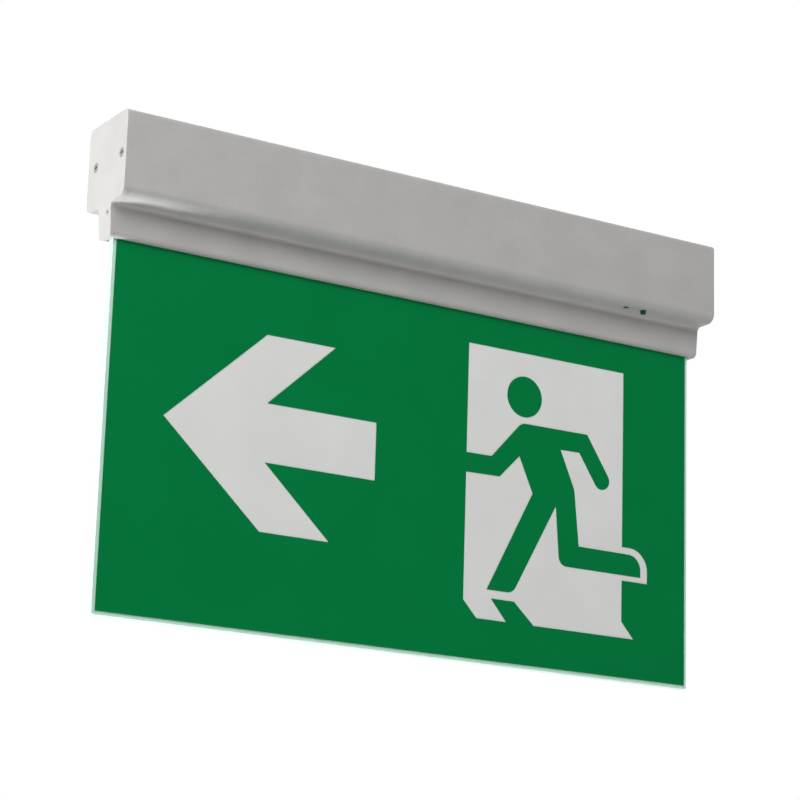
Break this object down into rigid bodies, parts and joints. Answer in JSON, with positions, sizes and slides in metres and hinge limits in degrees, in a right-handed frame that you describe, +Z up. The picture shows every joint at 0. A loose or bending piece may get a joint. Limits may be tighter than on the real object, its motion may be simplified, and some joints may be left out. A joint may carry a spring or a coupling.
{
  "type": "emergency exit light",
  "caption": "Ceiling-mounted blade exit light: a T-section aluminium housing with end caps carries an edge-lit clear plate with a green and white running-figure sign on both faces.",
  "frame": {"origin": "centre of the housing's flat top, where it meets the ceiling", "axes": "+X along the housing to the right of someone facing the front sign, +Y away from that person, +Z up into the ceiling"},
  "size_m": [0.36, 0.042, 0.245],
  "materials": {
    "powder_coat": "satin powder coat",
    "bright_steel": "zinc plated",
    "zinc_sheet": "galvanised sheet",
    "black_rubber": "matte",
    "clear_acrylic": "polished clear",
    "white_film": "satin film",
    "green_print": "satin print",
    "white_board": "solder mask",
    "led_phosphor": "satin",
    "battery_sleeve": "shrink sleeve",
    "terminal_plastic": "moulded",
    "green_board": "solder mask",
    "dark_ferrite": "sintered",
    "can_aluminium": "sleeved can",
    "switch_plastic": "moulded",
    "button_plastic": "gloss",
    "lens_plastic": "polished"
  },
  "bodies": {
    "luminaire": {"housing_profile": "powder_coat", "end_cap_left": "powder_coat", "end_cap_right": "powder_coat", "end_cap_screws": "bright_steel", "neck_screws": "bright_steel", "mounting_plate": "zinc_sheet", "cable_grommet": "black_rubber", "light_guide_plate": "clear_acrylic", "plate_keys": "bright_steel", "legend_film_front": "white_film", "legend_film_back": "white_film", "legend_print_front": "green_print", "legend_print_back": "green_print", "led_strip_board": "white_board", "led_chips": "led_phosphor", "gear_tray": "zinc_sheet", "battery_pack": "battery_sleeve", "battery_clips": "zinc_sheet", "terminal_block": "terminal_plastic", "terminal_screws": "bright_steel", "cable_clamp": "terminal_plastic", "clamp_screw": "bright_steel", "control_board": "green_board", "board_hooks": "terminal_plastic", "transformer": "dark_ferrite", "smoothing_capacitors": "can_aluminium", "test_switch": "switch_plastic", "indicator_led": "led_phosphor", "test_button_spring": "bright_steel", "indicator_lens": "lens_plastic"},
    "test_button": {"test_button": "button_plastic"}
  },
  "joints": [
    {"name": "button_press", "type": "slide", "parent": "luminaire", "child": "test_button", "axis": [0, 0, 1], "range_m": [0, 0.001], "stiffness_N_per_m": 300, "deforming": ["test_button_spring"]}
  ]
}
